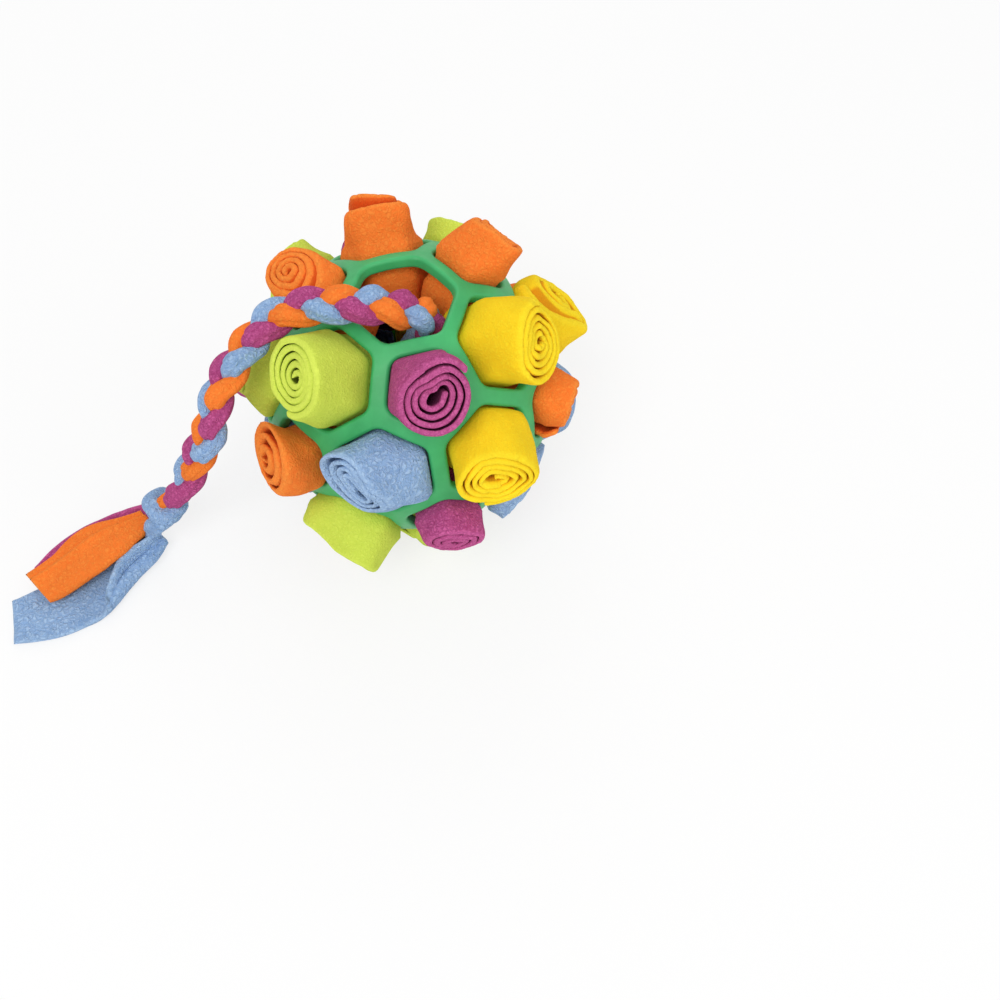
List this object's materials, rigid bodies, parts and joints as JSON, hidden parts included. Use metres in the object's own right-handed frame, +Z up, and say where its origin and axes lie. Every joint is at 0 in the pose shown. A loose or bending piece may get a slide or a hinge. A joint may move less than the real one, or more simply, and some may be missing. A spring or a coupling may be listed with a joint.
{
  "type": "treat ball",
  "caption": "Round rubber cage with rolled fleece strips pushed into its holes to hide treats, an open fill hole on top and a braided fleece pull rope with loose tails.",
  "frame": {"origin": "on the floor under the middle of the ball, leaving out the rope and its tails", "axes": "+Z up out of the open fill hole, -Y towards the purple roll beside it, -X towards the side where the rope comes down"},
  "size_m": [0.2515, 0.1398, 0.133],
  "materials": {
    "rubber_green": "satin moulded rubber",
    "fleece_orange": "soft brushed fleece",
    "fleece_yellow": "soft brushed fleece",
    "fleece_lime": "soft brushed fleece",
    "fleece_purple": "soft brushed fleece",
    "fleece_blue": "soft brushed fleece"
  },
  "bodies": {
    "cage": {"rubber_cage": "rubber_green", "rope": "fleece_purple", "inner_knot": "fleece_orange", "tail_hitch": "fleece_blue", "tail_blue": "fleece_blue", "tail_orange": "fleece_orange", "tail_purple": "fleece_purple"},
    "top_roll_1": {"top_roll_1": "fleece_lime"},
    "top_roll_2": {"top_roll_2": "fleece_purple"},
    "top_roll_3": {"top_roll_3": "fleece_yellow"},
    "top_roll_4": {"top_roll_4": "fleece_orange"},
    "top_roll_5": {"top_roll_5": "fleece_orange"},
    "top_roll_6": {"top_roll_6": "fleece_orange"},
    "upper_roll_1": {"upper_roll_1": "fleece_orange"},
    "upper_roll_2": {"upper_roll_2": "fleece_blue"},
    "upper_roll_3": {"upper_roll_3": "fleece_yellow"},
    "upper_roll_4": {"upper_roll_4": "fleece_orange"},
    "upper_roll_5": {"upper_roll_5": "fleece_yellow"},
    "upper_roll_6": {"upper_roll_6": "fleece_lime"},
    "upper_roll_7": {"upper_roll_7": "fleece_purple"},
    "upper_roll_8": {"upper_roll_8": "fleece_lime"},
    "upper_roll_9": {"upper_roll_9": "fleece_lime"},
    "lower_roll_1": {"lower_roll_1": "fleece_blue"},
    "lower_roll_2": {"lower_roll_2": "fleece_lime"},
    "lower_roll_3": {"lower_roll_3": "fleece_purple"},
    "lower_roll_4": {"lower_roll_4": "fleece_blue"},
    "lower_roll_5": {"lower_roll_5": "fleece_blue"},
    "lower_roll_6": {"lower_roll_6": "fleece_orange"},
    "lower_roll_7": {"lower_roll_7": "fleece_yellow"},
    "lower_roll_8": {"lower_roll_8": "fleece_blue"},
    "lower_roll_9": {"lower_roll_9": "fleece_purple"},
    "foot_roll_1": {"foot_roll_1": "fleece_orange"},
    "foot_roll_2": {"foot_roll_2": "fleece_lime"},
    "foot_roll_3": {"foot_roll_3": "fleece_purple"},
    "foot_roll_4": {"foot_roll_4": "fleece_yellow"},
    "foot_roll_5": {"foot_roll_5": "fleece_orange"},
    "foot_roll_6": {"foot_roll_6": "fleece_blue"}
  },
  "joints": [
    {"name": "top_roll_1_pull", "type": "slide", "parent": "cage", "child": "top_roll_1", "axis": [-0.5773, -0.3333, 0.7454], "range_m": [0, 0.018]},
    {"name": "top_roll_2_pull", "type": "slide", "parent": "cage", "child": "top_roll_2", "axis": [0, -0.6071, 0.7947], "range_m": [0, 0.018]},
    {"name": "top_roll_3_pull", "type": "slide", "parent": "cage", "child": "top_roll_3", "axis": [0.5773, -0.3333, 0.7454], "range_m": [0, 0.018]},
    {"name": "top_roll_4_pull", "type": "slide", "parent": "cage", "child": "top_roll_4", "axis": [0.5257, 0.3035, 0.7947], "range_m": [0, 0.018]},
    {"name": "top_roll_5_pull", "type": "slide", "parent": "cage", "child": "top_roll_5", "axis": [0, 0.6667, 0.7454], "range_m": [0, 0.018]},
    {"name": "top_roll_6_pull", "type": "slide", "parent": "cage", "child": "top_roll_6", "axis": [-0.5257, 0.3035, 0.7947], "range_m": [0, 0.018]},
    {"name": "upper_roll_1_pull", "type": "slide", "parent": "cage", "child": "upper_roll_1", "axis": [-0.8506, -0.4911, 0.1876], "range_m": [0, 0.018]},
    {"name": "upper_roll_2_pull", "type": "slide", "parent": "cage", "child": "upper_roll_2", "axis": [-0.3568, -0.8727, 0.3333], "range_m": [0, 0.018]},
    {"name": "upper_roll_3_pull", "type": "slide", "parent": "cage", "child": "upper_roll_3", "axis": [0.3568, -0.8727, 0.3333], "range_m": [0, 0.018]},
    {"name": "upper_roll_4_pull", "type": "slide", "parent": "cage", "child": "upper_roll_4", "axis": [0.8506, -0.4911, 0.1876], "range_m": [0, 0.018]},
    {"name": "upper_roll_5_pull", "type": "slide", "parent": "cage", "child": "upper_roll_5", "axis": [0.9342, 0.1273, 0.3333], "range_m": [0, 0.018]},
    {"name": "upper_roll_6_pull", "type": "slide", "parent": "cage", "child": "upper_roll_6", "axis": [0.5773, 0.7454, 0.3333], "range_m": [0, 0.018]},
    {"name": "upper_roll_7_pull", "type": "slide", "parent": "cage", "child": "upper_roll_7", "axis": [0, 0.9822, 0.1876], "range_m": [0, 0.018]},
    {"name": "upper_roll_8_pull", "type": "slide", "parent": "cage", "child": "upper_roll_8", "axis": [-0.5773, 0.7454, 0.3333], "range_m": [0, 0.018]},
    {"name": "upper_roll_9_pull", "type": "slide", "parent": "cage", "child": "upper_roll_9", "axis": [-0.9342, 0.1273, 0.3333], "range_m": [0, 0.018]},
    {"name": "lower_roll_1_pull", "type": "slide", "parent": "cage", "child": "lower_roll_1", "axis": [-0.9342, -0.1273, -0.3333], "range_m": [0, 0.018]},
    {"name": "lower_roll_2_pull", "type": "slide", "parent": "cage", "child": "lower_roll_2", "axis": [-0.5773, -0.7454, -0.3333], "range_m": [0, 0.018]},
    {"name": "lower_roll_3_pull", "type": "slide", "parent": "cage", "child": "lower_roll_3", "axis": [0, -0.9822, -0.1876], "range_m": [0, 0.018]},
    {"name": "lower_roll_4_pull", "type": "slide", "parent": "cage", "child": "lower_roll_4", "axis": [0.5773, -0.7454, -0.3333], "range_m": [0, 0.018]},
    {"name": "lower_roll_5_pull", "type": "slide", "parent": "cage", "child": "lower_roll_5", "axis": [0.9342, -0.1273, -0.3333], "range_m": [0, 0.018]},
    {"name": "lower_roll_6_pull", "type": "slide", "parent": "cage", "child": "lower_roll_6", "axis": [0.8506, 0.4911, -0.1876], "range_m": [0, 0.018]},
    {"name": "lower_roll_7_pull", "type": "slide", "parent": "cage", "child": "lower_roll_7", "axis": [0.3568, 0.8727, -0.3333], "range_m": [0, 0.018]},
    {"name": "lower_roll_8_pull", "type": "slide", "parent": "cage", "child": "lower_roll_8", "axis": [-0.3568, 0.8727, -0.3333], "range_m": [0, 0.018]},
    {"name": "lower_roll_9_pull", "type": "slide", "parent": "cage", "child": "lower_roll_9", "axis": [-0.8506, 0.4911, -0.1876], "range_m": [0, 0.018]},
    {"name": "foot_roll_1_pull", "type": "slide", "parent": "cage", "child": "foot_roll_1", "axis": [-0.5257, -0.3035, -0.7947], "range_m": [0, 0.018]},
    {"name": "foot_roll_2_pull", "type": "slide", "parent": "cage", "child": "foot_roll_2", "axis": [0, -0.6667, -0.7454], "range_m": [0, 0.018]},
    {"name": "foot_roll_3_pull", "type": "slide", "parent": "cage", "child": "foot_roll_3", "axis": [0.5257, -0.3035, -0.7947], "range_m": [0, 0.018]},
    {"name": "foot_roll_4_pull", "type": "slide", "parent": "cage", "child": "foot_roll_4", "axis": [0.5773, 0.3333, -0.7454], "range_m": [0, 0.018]},
    {"name": "foot_roll_5_pull", "type": "slide", "parent": "cage", "child": "foot_roll_5", "axis": [0, 0.6071, -0.7947], "range_m": [0, 0.018]},
    {"name": "foot_roll_6_pull", "type": "slide", "parent": "cage", "child": "foot_roll_6", "axis": [-0.5773, 0.3333, -0.7454], "range_m": [0, 0.018]}
  ]
}
